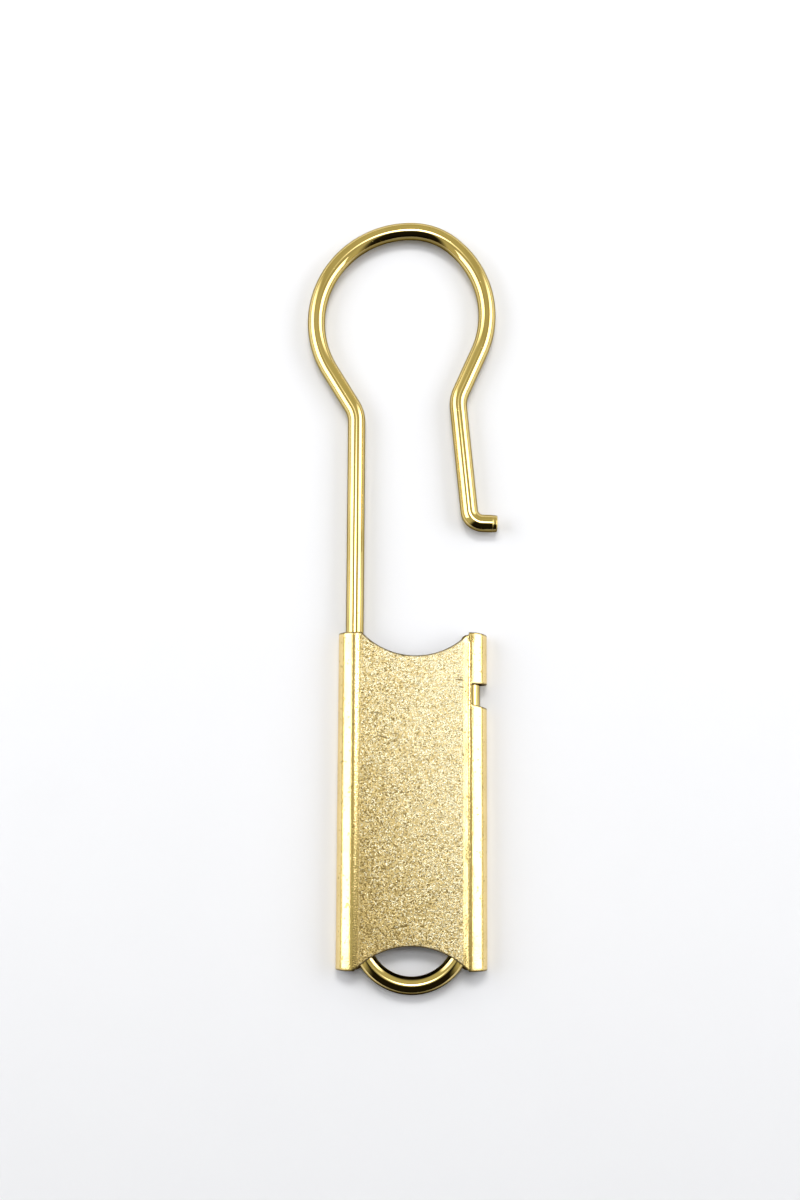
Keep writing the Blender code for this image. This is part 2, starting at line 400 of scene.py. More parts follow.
def edgeDistance(section, y, bottom, top, notch):
    # shortest way from each point to any cut edge of the sheet: ends, bays, flanges and notch
    s = sheathSheet
    bay = s["topScallop"]
    toTop = endDistance(section, y, top[:, None] - y, bay, s["length"] - bay[1] + bay[0])
    bay = s["bottomScallop"]
    toBottom = endDistance(section, y, y - bottom[:, None], bay, bay[1] - bay[0])
    along = section["along"]
    toFlange = np.minimum(along - along[0], along[-1] - along)[:, None]
    corner = s["notchCorner"]
    sideways = corner - notch["inside"][:, None]
    upright = corner - np.minimum(y - notch["flatLower"][:, None], notch["flatUpper"] - y)
    toNotch = np.hypot(np.maximum(sideways, 0.0), np.maximum(upright, 0.0)) - corner
    toNotch += np.minimum(np.maximum(sideways, upright), 0.0)
    return np.maximum(np.minimum(np.minimum(toTop, toBottom), np.minimum(toFlange, toNotch)), 0.0)


def buildSheath(material):
    # Both faces of the sheet are one grid of columns round the fold and rows along it. A point is
    # the middle line plus the outward direction times the half thickness, which rounds off within
    # edgeRound of any edge. The notch's cells are left out, and strips of cells close every edge.
    s = sheathSheet
    section = sectionColumns()
    bottom, top = sheathEnds(section)
    notch = notchLines(section)
    edge = s["edgeRound"]
    lines = (bottom, notch["lower"], notch["upper"], top)
    spans = zip(lines[:-1], lines[1:], s["rows"])
    rows = [rowPlaces(start, end, count, edge) for start, end, count in spans]
    lowerRow = rows[0].shape[1] - 1
    upperRow = lowerRow + rows[1].shape[1] - 1
    y = np.concatenate([rows[0], rows[1][:, 1:], rows[2][:, 1:]], axis=1)
    columns, count = y.shape
    toEdge = edgeDistance(section, y, bottom, top, notch)
    half = roundedEdge(toEdge, s["thickness"] / 2, edge)

    x = section["x"][:, None]
    z = section["z"][:, None]
    moveX, moveZ = sheathWarp(x, y, section["front"][:, None])
    faces = []
    for side in (1.0, -1.0):
        pointX = x + moveX + side * half * section["outX"][:, None]
        pointZ = z + moveZ + side * half * section["outZ"][:, None]
        faces.append(np.stack([pointX, y, pointZ], axis=-1).reshape(-1, 3))
    points = np.concatenate(faces) + drawingOrigin

    shift = columns * count
    number = np.arange(shift).reshape(columns, count)
    inside = notch["inside"] > -tiny
    inNotch = inside[:-1] & inside[1:]
    keep = np.ones((columns - 1, count - 1), bool)
    keep[inNotch, lowerRow:upperRow] = False
    keep = keep.reshape(-1)
    outer = cellQuads(number)[keep]
    inner = cellQuads(number + shift)[keep, ::-1]
    first = int(np.argmax(inNotch))
    last = int(len(inNotch) - np.argmax(inNotch[::-1]))
    ring = borderLine(number[first:last + 1, lowerRow:upperRow + 1])
    rim = borderLine(number)
    walls = [stripQuads(rim + shift, rim), stripQuads(ring, ring + shift)]
    quads = np.concatenate([outer, inner] + walls)

    along = section["along"]
    shift, reach = s["satinLeft"]
    onPlate = smoothStep((along - section["plateFrom"] + shift) / reach)
    shift, reach = s["satinRight"]
    onPlate = onPlate * smoothStep((section["plateTo"] + shift - along) / reach)
    attributes = {
        "satin": np.tile(np.repeat(onPlate, count), 2),
        "wear": np.tile(np.exp(-toEdge / s["wearReach"]).ravel(), 2),
        "cut": np.tile(np.exp(-toEdge / s["cutReach"]).ravel(), 2),
        "inner": np.repeat([0.0, 1.0], toEdge.size),
    }
    piece = makePiece("foldedSheath", points, quads, attributes=attributes)
    piece.data.materials.append(material)
    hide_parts("sheath")
    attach(piece, "sheath")


# Drawn wire

wireStock = {
    "radius": 0.00125,
    "level": 0.001705,
    "sides": 48,
    "straightStep": 0.0007,
    "arcStep": math.radians(3.0),
    "endStep": 0.00003,
    "endRound": 0.00018,
    "fineStart": 0.0003,  # how much of an end that is seen has close rings
    "fineEnd": 0.0009,
    # where the wire gets painted shade on its flanks: those facing the open front, and both in the eye
    "flankShadeTurn": (0.50, 0.30),  # how far a flank must look away to be dark, and over what way
    "flankShadeAtCrown": 0.76,
    "eyeShadeBelow": (0.0040, 0.0020),
}

eyeWire = {
    "start": (0.00824, 0.0430),
    "heading": -math.pi / 2,
    "seenStart": True,
    "seam": 0.0350,  # the left leg goes on as the bow from here, inside the bead
    "bottomRadius": 0.0072,
    "shoulderRadius": 0.0146,
    "reach": 0.0033,
}

bowWire = {
    "start": (-0.00824, 0.0350),
    "heading": math.pi / 2,
    "seenStart": False,  # inside the bead
    # radius or 0, then the length of a straight or the turn of a bend in degrees
    "route": (
        (0, 0.0425830),  # left leg
        (0.0045, 31.6),  # left neck
        (0, 0.0062630),
        (0.01382, -121.6),  # left of the loop
        (0.00948, -38.5),  # over the crown
        (0.01363, -75.3),  # right of the loop
        (0, 0.0065355),
        (0.0046, 29.63),  # right neck
        (0, 0.0152945),  # sprung arm
        (0.0020, 82.6),  # corner of the tip
        (0, 0.002087),
    ),
    "grooveFromEnd": 0.00062,
    "grooveWidth": 0.00005,
    "grooveDepth": 0.00004,
    "tipTaper": 0.00008,
    "blendFrom": (-0.0037, 0.054, 0.0018),
    "blendTo": (0.0063, 0.054, 0.0018),
}


def routePieces(route):
    # length and turn of each straight and bend
    pieces = []
    for radius, amount in route:
        turn = math.radians(amount) if radius else 0.0
        pieces.append((radius * abs(turn) if radius else amount, turn))
    return pieces


def eyePieces():
    # Right leg, two shoulder arcs either side of the bottom arc, and the left leg up to the seam.
    e = eyeWire
    legX, topY = e["start"]
    wide, small = e["shoulderRadius"], e["bottomRadius"]
    turn = math.asin((wide - legX) / (wide - small))
    shoulder = math.pi / 2 - turn
    shoulderY = wireStock["radius"] - e["reach"] + small + (wide - small) * math.cos(turn)
    return [
        (topY - shoulderY, 0.0),
        (wide * shoulder, -shoulder),
        (small * 2 * turn, -2 * turn),
        (wide * shoulder, -shoulder),
        (e["seam"] - shoulderY, 0.0),
    ]


def wireRoute(wire, pieces):
    # The heading changes evenly along each (length, turn) piece. Rings are closer where the wire
    # bends and at an end that is seen.
    w = wireStock
    turns = np.cumsum([turn for length, turn in pieces])
    headings = wire["heading"] + np.concatenate([[0.0], turns])
    ends, dense, angle, x, y = traceLine([length for length, turn in pieces], headings)
    x, y = wire["start"][0] + x, wire["start"][1] + y
    curvature = np.abs(np.gradient(angle, dense))
    density = 1.0 / w["straightStep"] + curvature / w["arcStep"]
    density += wire["seenStart"] / w["endStep"] * (dense < w["fineStart"])
    density += 1.0 / w["endStep"] * (dense > ends[-1] - w["fineEnd"])
    step = np.diff(dense)
    total = np.concatenate([[0.0], np.cumsum((density[1:] + density[:-1]) / 2 * step)])
    rings = np.interp(np.linspace(0.0, total[-1], int(total[-1]) + 2), total, dense)
    return (rings, np.interp(rings, dense, x), np.interp(rings, dense, y),
            np.interp(rings, dense, angle), ends[-1])


def buildWire(name, wire, pieces, material):
    # A ring of points round each place on the route: its middle, plus the radius times the cosine
    # of the way round towards the bend's side and the sine of it upwards. Ends are rounded over
    # and closed to one point each, and the tip tapers a little past its groove.
    w = wireStock
    along, x, y, angle, length = wireRoute(wire, pieces)
    fromEnd = np.minimum(along, length - along)
    radius = roundedEdge(fromEnd, w["radius"], w["endRound"])
    if "tipTaper" in wire:
        toEnd = length - along
        nick = (toEnd - wire["grooveFromEnd"]) / wire["grooveWidth"]
        radius = radius - wire["grooveDepth"] * np.exp(-nick ** 2)
        past = np.clip(1.0 - toEnd / wire["grooveFromEnd"], 0.0, 1.0)
        radius = radius - wire["tipTaper"] * past
    around = np.linspace(0.0, 2.0 * math.pi, w["sides"], endpoint=False)
    sideX, sideY = -np.sin(angle)[:, None], np.cos(angle)[:, None]
    cosine, sine = np.cos(around)[None, :], np.sin(around)[None, :]
    size = radius[:, None]
    rings = np.stack([
        x[:, None] + size * cosine * sideX,
        y[:, None] + size * cosine * sideY,
        w["level"] + size * sine,
    ], axis=-1)
    drawn = np.broadcast_arrays(along[:, None], w["radius"] * cosine, w["radius"] * sine)
    poles = np.array([[x[0], y[0], w["level"]], [x[-1], y[-1], w["level"]]])
    points = np.concatenate([rings.reshape(-1, 3), poles]) + drawingOrigin
    drawnPoles = np.array([[along[0], 0.0, 0.0], [along[-1], 0.0, 0.0]])
    count, sides = len(along), w["sides"]
    number = closedRows(count, sides)
    firstPole, lastPole = count * sides, count * sides + 1
    startFan = np.stack([number[0, 1:], number[0, :-1], np.full(sides, firstPole)], axis=-1)
    endFan = np.stack([number[-1, :-1], number[-1, 1:], np.full(sides, lastPole)], axis=-1)
    # how far a flank looks towards the sheath's end of the hook, where it is coloured dark as painted
    # shade, and more so in the eye, on both flanks, as painted shade under the sheath's end
    inEye = smoothStep(below(y[:, None], w["eyeShadeBelow"]))
    atCrown = w["flankShadeAtCrown"]
    flankShade = smoothStep(above(-cosine * sideY, w["flankShadeTurn"])) * (atCrown + (1.0 - atCrown) * inEye)
    flankShade = np.maximum(flankShade, smoothStep(above(cosine * sideY, w["flankShadeTurn"])) * inEye)
    attributes = {
        "drawn": np.concatenate([np.stack(drawn, axis=-1).reshape(-1, 3), drawnPoles]),
        "flankShade": np.concatenate([flankShade.ravel(), [0.0, 0.0]]),
    }
    piece = makePiece(name, points, cellQuads(number)[:, ::-1],
                      np.concatenate([startFan[:, ::-1], endFan[:, ::-1]]), attributes)
    piece.data.materials.append(material)
    return piece


# Finishes

tumbledBrass = {
    "color": (0.93, 0.73, 0.35),
    "tarnish": (0.60, 0.44, 0.16),
    # painted sparkle: the near-white colour of the worn bright grains, whose lower roughness is their
    # real polish
    "polishSparkle": (1.0, 0.91, 0.63),
    "pitted": (0.25, 0.17, 0.05),
    "innerShade": (0.20, 0.145, 0.065),  # painted shade: the whole inner face of the sheet is coloured dark, so the inside of the fold reads shaded
    # painted shade: the dark line laid along every cut edge of the sheet
    "cutEdgeShade": (0.13, 0.09, 0.035),
    "edgeTint": (0.90, 0.84, 0.74),
    "beadRoughness": 0.13,
    "plateRoughness": 0.38,
    "tipRoughness": 0.18,
    "plateMetal": 0.58,  # the rest is its matt skin of oxide
    "leastRoughness": 0.06,
    "grainHeight": 0.00008,
    "beadGrain": 0.20,  # the grain's share on the beads, where the plate has all of it
    "coarseShare": 0.5,
    # noises by scale, detail, roughness and distortion
    "grain": (4900.0, 2.0, 0.6),
    "coarse": (1900.0, 2.0, 0.6, 0.4),
    "cloud": (240.0, 3.0, 0.55, 0.3),
    "patch": (900.0, 3.0, 0.6),
    "pits": (2100.0, 1.0, 0.5),
    "flecks": 6200.0,
    # ranges of a noise by two limits, and a share
    "pitRange": (0.68, 0.73),
    "cutRange": (0.27, 0.58),
    "markRange": (0.0, 0.5),
    "dull": (0.35, 0.75, 0.30),
    "speck": (0.50, 0.74, 0.35),
    "hollow": (0.52, 0.30, 0.55),
    "tips": (0.48, 0.70, 0.95),
    "dips": (0.25, 0.08, 0.95),
    "pitDepth": 0.35,
    "scratchDepth": 0.12,
    "markDepth": 0.70,
    "pitStain": 0.9,
    "scratchStain": 0.15,
    "markStain": 0.7,
    "markTint": 0.85,
    "wearShine": 0.5,
    # painted shade: how much the plate's colour darkens for each metre across and upward, from a place
    # where it is nothing; the slopes are below zero, so it is lighter towards the top and right and
    # darker towards the left and bottom
    "shadeSlope": (-50.0, -15.0),
    "shadeFrom": (0.0028, 0.0187),
    "fleckShadeShare": 0.52,  # the painted shade's share in the bright flecks, and in the deep ones
    "deepShadeShare": 0.27,
    "fleckGrain": 0.8,
    "fleckMiddle": 0.4,
    "coarseRough": 0.12,
    "cloudRough": 0.10,
    "edgeRough": 0.25,  # on cut edges and inside
    # scratches at one slant: degrees, shift, length, width, rarity
    "scratches": (
        (-24.0, (0.3, 0.1, 0.0), 0.0030, 0.00022, 0.72),
        (12.0, (2.3, 1.1, 0.0), 0.0040, 0.00025, 0.74),
        (61.0, (5.3, 4.1, 0.0), 0.0024, 0.00020, 0.74),
    ),
    "scratchNoise": (1.0, 1.0, 0.4, 0.15),
    "scratchEase": 0.05,
    # marks that can be picked out: middle, half length and half width in mm, slant in degrees, depth
    "marks": (
        (-4.06, 32.07, 1.1, 0.135, -17, 0.8),
        (-4.9, 35.4, 0.8, 0.12, -9, 0.8),
        (6.58, 40.14, 0.75, 0.12, -9, 1.0),
        (6.79, 39.1, 0.5, 0.105, -5, 0.8),
        (-3.99, 5.09, 1.3, 0.128, -46, 0.8),
        (-1.75, 5.92, 1.5, 0.12, 11, 0.7),
        (4.27, 3.1, 0.45, 0.165, 88, -0.9),
        (-6.25, 2.2, 0.4, 0.18, 80, -0.9),
        (6.93, 33.1, 0.32, 0.128, 80, 0.9),
        (7.07, 29.6, 0.16, 0.18, 0, 1.0),
        (-1.4, 43.5, 0.5, 0.135, -20, 0.9),
        (-6.86, 27.9, 0.6, 0.112, 20, 0.7),
        (-6.2, 21.3, 0.35, 0.135, -40, 0.7),
        (-6.2, 7.8, 0.8, 0.12, 84, 0.6),
        (7.95, 46.05, 0.6, 0.165, 82, 1.0),
        (-7.3, 46.1, 0.55, 0.135, 75, 0.8),
    ),
}

drawnBrass = {
    "color": (0.85, 0.675, 0.30),
    "tarnish": (0.50, 0.385, 0.12),
    # painted shade: the colour laid on the wire's flanks that face the open front, and on both flanks
    # in the eye
    "flankShadeColor": (0.08, 0.058, 0.018),
    # painted shade: an edge tint far darker than brass's own, so the wire's rims reflect dark
    "edgeTint": (0.16, 0.12, 0.04),
    "roughness": 0.05,
    "leastRoughness": 0.04,
    "lineStretch": (110.0, 5200.0, 5200.0),  # scale along the wire and across it
    "cloudStretch": (130.0, 420.0, 420.0),
    "lines": (1.0, 2.0, 0.6),
    "fine": (4200.0, 2.0, 0.6),
    "cloud": (1.0, 3.0, 0.6),
    "pits": (2300.0, 1.0, 0.5),
    "pitRange": (0.73, 0.78),
    "relief": 0.0000030,
    "lineHeight": 0.55,
    "fineHeight": 0.30,
    "pitDepth": 1.2,
    "lowerSideDark": (0.00092, 0.00025, 0.80),  # darker lower on the wire, between two heights over the wire's middle
    "cloudStain": (0.40, 0.75, 0.30),
    "lineStain": (0.55, 0.80, 0.15),
    "pitStain": 0.5,
    "cloudRough": 0.05,
    "fineRough": 0.04,
    "sideRough": 0.12,
}


class NodeBench:
    # Short ways to add and join shader nodes in one material or world
    def __init__(self, tree):
        self.nodes = tree.nodes
        self.links = tree.links

    def add(self, kind, inputs=None, **settings):
        node = self.nodes.new(kind)
        for key, value in settings.items():
            setattr(node, key, value)
        self.feed(node, inputs or {})
        return node

    def feed(self, node, inputs):
        # a socket is linked, and a number or a tone is set on the node's own socket
        for key, value in inputs.items():
            socket = node.inputs[key]
            if isinstance(value, bpy.types.NodeSocket):
                self.links.new(value, socket)
            else:
                socket.default_value = (*value, 1.0) if socket.type == "RGBA" else value

    def math(self, operation, first, second=0.0, third=0.0, clamp=False):
        node = self.add("ShaderNodeMath", {0: first, 1: second, 2: third},
                        operation=operation, use_clamp=clamp)
        return node.outputs[0]

    def times(self, first, second):
        return self.math("MULTIPLY", first, second)

    def plus(self, base, value, share, clamp=False):
        # the base and a share of the value
        return self.math("MULTIPLY_ADD", value, share, base, clamp)

    def attribute(self, name, output="Fac"):
        return self.add("ShaderNodeAttribute", attribute_name=name).outputs[output]

    def noise(self, vector, scale, detail, roughness, distortion=0.0):
        node = self.add("ShaderNodeTexNoise", {"Vector": vector, "Scale": scale, "Detail": detail,
                                               "Roughness": roughness, "Distortion": distortion})
        return node.outputs["Fac"]

    def mapped(self, vector, scale, turn=0.0, move=(0.0, 0.0, 0.0)):
        node = self.add("ShaderNodeMapping", {"Vector": vector, "Location": move,
                                              "Rotation": (0.0, 0.0, turn), "Scale": scale})
        return node.outputs[0]

    def ramp(self, value, low, high):
        node = self.add("ShaderNodeMapRange", {"Value": value, "From Min": low, "From Max": high},
                        interpolation_type="SMOOTHSTEP")
        return node.outputs[0]

    def share(self, value, span):
        # a ramp between two limits, times the third number
        low, high, most = span
        return self.times(self.ramp(value, low, high), most)

    def mixColor(self, share, first, second):
        node = self.add("ShaderNodeMix", {0: share, 6: first, 7: second}, data_type="RGBA")
        return node.outputs[2]

    def bump(self, height, distance):
        inputs = {"Height": height, "Distance": distance, "Strength": 1.0}
        return self.add("ShaderNodeBump", inputs).outputs[0]


def newMaterial(name):
    # a material, a bench for its nodes, and the shader that it starts with
    material = bpy.data.materials.new(name)
    material.use_nodes = True
    bench = NodeBench(material.node_tree)
    return material, bench, bench.nodes["Principled BSDF"]


def scratchLines(bench, place, slant, move, length, width, rarity):
    # long thin lines at one slant: noise stretched along them, and only its highest ridges kept
    scale = (1.0 / length, 1.0 / width, 1.0 / width)
    stretched = bench.mapped(place, scale, math.radians(slant), move)
    value = bench.noise(stretched, *tumbledBrass["scratchNoise"])
    return bench.ramp(value, rarity, rarity + tumbledBrass["scratchEase"])


def knownMark(bench, place, x, y, reach, width, slant):
    # one tapered scratch: a round falloff, stretched to its length and width, in millimetres
    node = bench.add("ShaderNodeMapping", {
        "Vector": place, "Location": drawingOrigin + np.array([x, y, 0.0]) / 1000.0,
        "Rotation": (0.0, 0.0, math.radians(slant)),
        "Scale": (reach / 1000.0, width / 1000.0, 1.0)}, vector_type="TEXTURE")
    return bench.add("ShaderNodeTexGradient", {"Vector": node.outputs[0]},
                     gradient_type="SPHERICAL").outputs["Fac"]


def tumbledMaterial():
    # Satin plate with a fine etched grain, smoother beads, dark cut edges and a dark inner face as
    # painted shade, pits and scratches, and painted shade and sheen that darken the plate towards its
    # left and lower side and lighten it towards its top and right.
    t = tumbledBrass
    material, bench, shader = newMaterial("tumbledBrass")
    place = bench.add("ShaderNodeTexCoord").outputs["Object"]
    satin = bench.attribute("satin")
    wear = bench.attribute("wear")
    cut = bench.attribute("cut")
    inner = bench.attribute("inner")

    grain = bench.noise(place, *t["grain"])
    coarse = bench.noise(place, *t["coarse"])
    cloud = bench.noise(place, *t["cloud"])
    patch = bench.noise(place, *t["patch"])
    pits = bench.ramp(bench.noise(place, *t["pits"]), *t["pitRange"])
    flecks = bench.add("ShaderNodeTexVoronoi", {"Vector": place, "Scale": t["flecks"]})
    flecks = bench.add("ShaderNodeSeparateColor", {"Color": flecks.outputs["Color"]}).outputs[0]
    scratches = 0.0
    for scratch in t["scratches"]:
        scratches = bench.math("MAXIMUM", scratchLines(bench, place, *scratch), scratches)
    marks = 0.0
    for *mark, depth in t["marks"]:
        marks = bench.plus(marks, bench.ramp(knownMark(bench, place, *mark), *t["markRange"]), depth)

    # relief: grain, less of it on the beads, with scratches, pits and marks cut in
    height = bench.plus(grain, coarse, t["coarseShare"])
    height = bench.times(height, bench.plus(t["beadGrain"], satin, 1.0 - t["beadGrain"]))
    height = bench.plus(height, bench.times(scratches, satin), -t["scratchDepth"])
    height = bench.plus(height, pits, -t["pitDepth"])
    height = bench.plus(height, marks, -t["markDepth"])
    normal = bench.bump(height, t["grainHeight"])

    # stain: clouds, specks and hollows, in pits, scratches and marks; and painted shade to one side,
    # darker towards the plate's left and bottom
    axes = bench.add("ShaderNodeSeparateXYZ", {"Vector": place}).outputs
    side = 0.0
    for axis, slope, start in zip(axes, t["shadeSlope"], drawingOrigin[:2] + t["shadeFrom"]):
        side = bench.plus(side, bench.math("SUBTRACT", axis, start), slope)
    onPlate = bench.math("ADD", bench.share(patch, t["speck"]), bench.share(grain, t["hollow"]))
    stain = bench.plus(bench.share(cloud, t["dull"]), onPlate, satin)
    stain = bench.plus(stain, side, satin)
    stain = bench.plus(stain, pits, t["pitStain"])
    stain = bench.plus(stain, scratches, t["scratchStain"])
    stain = bench.plus(stain, marks, t["markStain"])
    stain = bench.plus(stain, wear, -t["wearShine"], clamp=True)
    color = bench.mixColor(stain, t["color"], t["tarnish"])

    # every grain is worn bright, plain or pitted; the bright grains get a near-white colour as painted
    # sparkle, and more are bright at the plate's top and right and more deep at its left and bottom,
    # as painted sheen and shade
    fleck = bench.plus(bench.math("SUBTRACT", flecks, t["fleckMiddle"]), grain, t["fleckGrain"])
    fleck = bench.plus(fleck, side, -t["fleckShadeShare"])
    deep = bench.plus(fleck, side, t["deepShadeShare"])
    low, high, tipShare = t["tips"]
    tips = bench.times(bench.ramp(fleck, low, high), satin)
    low, high, dipShare = t["dips"]
    dips = bench.times(bench.ramp(deep, low, high), satin)
    color = bench.mixColor(bench.times(tips, tipShare), color, t["polishSparkle"])
    color = bench.mixColor(bench.times(dips, dipShare), color, t["pitted"])
    mark = bench.math("MULTIPLY", marks, t["markTint"], clamp=True)
    color = bench.mixColor(mark, color, t["pitted"])
    # painted shade: the inner face of the sheet in a dark colour
    color = bench.mixColor(inner, color, t["innerShade"])
    # painted shade along the cut edges
    color = bench.mixColor(bench.ramp(cut, *t["cutRange"]), color, t["cutEdgeShade"])

    bead, plate, tip = t["beadRoughness"], t["plateRoughness"], t["tipRoughness"]
    rough = bench.plus(bench.plus(bead, satin, plate - bead), tips, tip - plate)
    rough = bench.plus(rough, bench.math("SUBTRACT", coarse, 0.5), t["coarseRough"])
    rough = bench.plus(rough, bench.math("SUBTRACT", cloud, 0.5), t["cloudRough"])
    rough = bench.plus(rough, cut, t["edgeRough"])
    rough = bench.plus(rough, inner, t["edgeRough"])
    rough = bench.math("MAXIMUM", rough, t["leastRoughness"])

    metal = bench.plus(1.0, satin, t["plateMetal"] - 1.0)
    bench.feed(shader, {"Base Color": color, "Roughness": rough, "Normal": normal,
                        "Metallic": metal, "Specular Tint": t["edgeTint"]})
    return material


def drawnMaterial():
    # Bright drawn wire: die lines along it, duller on its sides than on top, and scattered fine pits,
    # with painted shade on the flanks that face the open front and in the eye, and a dark edge tint
    # that paints shade into its rims' reflections.
    d = drawnBrass
    material, bench, shader = newMaterial("drawnBrass")
    drawn = bench.attribute("drawn", "Vector")
    lines = bench.noise(bench.mapped(drawn, d["lineStretch"]), *d["lines"])
    fine = bench.noise(drawn, *d["fine"])
    cloud = bench.noise(bench.mapped(drawn, d["cloudStretch"]), *d["cloud"])
    pits = bench.ramp(bench.noise(drawn, *d["pits"]), *d["pitRange"])

    height = bench.plus(bench.times(fine, d["fineHeight"]), lines, d["lineHeight"])
    height = bench.plus(height, pits, -d["pitDepth"])
    normal = bench.bump(height, d["relief"])

    level = bench.add("ShaderNodeSeparateXYZ", {"Vector": drawn}).outputs[2]
    side = bench.share(level, d["lowerSideDark"])
    stain = bench.math("ADD", bench.share(cloud, d["cloudStain"]), side)
    stain = bench.plus(stain, pits, d["pitStain"])
    stain = bench.math("ADD", bench.share(lines, d["lineStain"]), stain, clamp=True)
    color = bench.mixColor(stain, d["color"], d["tarnish"])
    # painted shade on the flanks that face the open front, and on both flanks in the eye
    color = bench.mixColor(bench.attribute("flankShade"), color, d["flankShadeColor"])

    rough = bench.plus(d["roughness"], bench.math("SUBTRACT", cloud, 0.5), d["cloudRough"])
    rough = bench.plus(rough, bench.math("SUBTRACT", fine, 0.5), d["fineRough"])
    rough = bench.plus(rough, side, d["sideRough"])
    rough = bench.math("MAXIMUM", rough, d["leastRoughness"])

    bench.feed(shader, {"Base Color": color, "Roughness": rough, "Normal": normal,
                        "Metallic": 1.0, "Specular Tint": d["edgeTint"]})
    return material


sheathFinish = tumbledMaterial()
wireFinish = drawnMaterial()
print("finishes ready")

buildSheath(sheathFinish)

eyePiece = buildWire("eyeWire", eyeWire, eyePieces(), wireFinish)
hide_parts("wire_frame")
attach(eyePiece, "wire")

bowPiece = buildWire("bowWire", bowWire, routePieces(bowWire["route"]), wireFinish)
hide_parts("hook_arm")
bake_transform(bowPiece)
print("pieces built")


# Floor and light tent

studio = {
    "floorColor": (0.93, 0.932, 0.935),
    "floorBounce": (0.52, 0.52, 0.52),  # what it gives back to the room
    "floorHalf": 3.0,
    "floorDrop": 0.00002,  # a hair under the brass, so that they don't share
    "floorRoughness": 0.9,
    "floorSpecular": 0.1,
    "mottle": (60.0, 3.0, 0.6),  # noise by scale, detail and roughness
    "mottleLow": 0.985,
    "tentRadius": 0.90,
    "tentFoot": -0.02,  # its lowest direction, just below level
    "tentRings": 61,
    "tentSides": 144,
    # where the tent changes tone: a place and the way it takes
    "overheadLevel": (0.62, 0.14),
    "overheadFront": (-0.80, 0.35),
    "darkFront": (0.60, 0.20),
    "darkLevel": (0.12, 0.12),
    "lowHeight": 0.34,
    "tentColor": (0.50, 0.49, 0.47),
    "tentTop": (0.43, 0.425, 0.41),
    "tentWarmth": (1.04, 1.00, 0.64),  # its tone as metal sees it
    "tentBounce": 0.44,  # its share in the light on paper
    "tentDark": (0.012, 0.010, 0.008),
    "horizonColor": (0.80, 0.80, 0.79),
    "windowColor": (0.98, 0.99, 1.03),
    # each window's place to the side, lower and upper edge, and glow
    "windows": {
        "leftWindow": (-0.285, 0.093, 0.412, 2.6),
        "rightWindow": (0.285, 0.095, 0.366, 2.9),
    },
    "windowSpan": (-0.092, 0.14, 0.015, 0.20),  # from, to, and how softly each end fades
    "windowGrid": (-0.11, 0.35, 47, 37),
    "windowEase": 0.01,
    "topLight": 12.0,
    "topHeight": 0.60,
    "topMiddle": (-0.005, 0.085),
    "topReach": (0.088, 0.083),
    "topBell": 0.74,
    "topEnd": (2.4, 0.6),
    "topGrid": (-0.40, 0.39, -0.095, 0.265, 61),
    "fillPower": 42.4,  # for each square metre of the lamp
    "fillSize": (0.30, 0.14),
    "fillPlace": (0.33, 0.60),  # beyond the loop, and up
    "worldColor": (0.93, 0.93, 0.935),
}


def buildFloor():
    # one pale sheet under everything, finely mottled so that it isn't a flat tone
    material, bench, shader = newMaterial("paleFloor")
    t = studio
    place = bench.add("ShaderNodeTexCoord").outputs["Object"]
    mottle = bench.noise(place, *t["mottle"])
    low = [value * t["mottleLow"] for value in t["floorColor"]]
    color = bench.mixColor(mottle, low, t["floorColor"])
    rays = bench.add("ShaderNodeLightPath").outputs
    seen = bench.math("MAXIMUM", rays["Is Camera Ray"], rays["Is Glossy Ray"])
    seen = bench.math("MAXIMUM", seen, rays["Is Transmission Ray"])
    color = bench.mixColor(seen, t["floorBounce"], color)
    bench.feed(shader, {"Base Color": color, "Roughness": t["floorRoughness"],
                        "Specular IOR Level": t["floorSpecular"]})
    corners = t["floorHalf"] * np.array([[-1, -1, 0], [1, -1, 0], [1, 1, 0], [-1, 1, 0]])
    floor = makePiece("floor", corners, np.array([[0, 1, 2, 3]]))
    floor.data.materials.append(material)
    floor.location.z = -t["floorDrop"]


def clothMaterial(name):
    # a material with no nodes yet, for cloth that only glows
    material, bench, _ = newMaterial(name)
    bench.nodes.clear()
    return material, bench


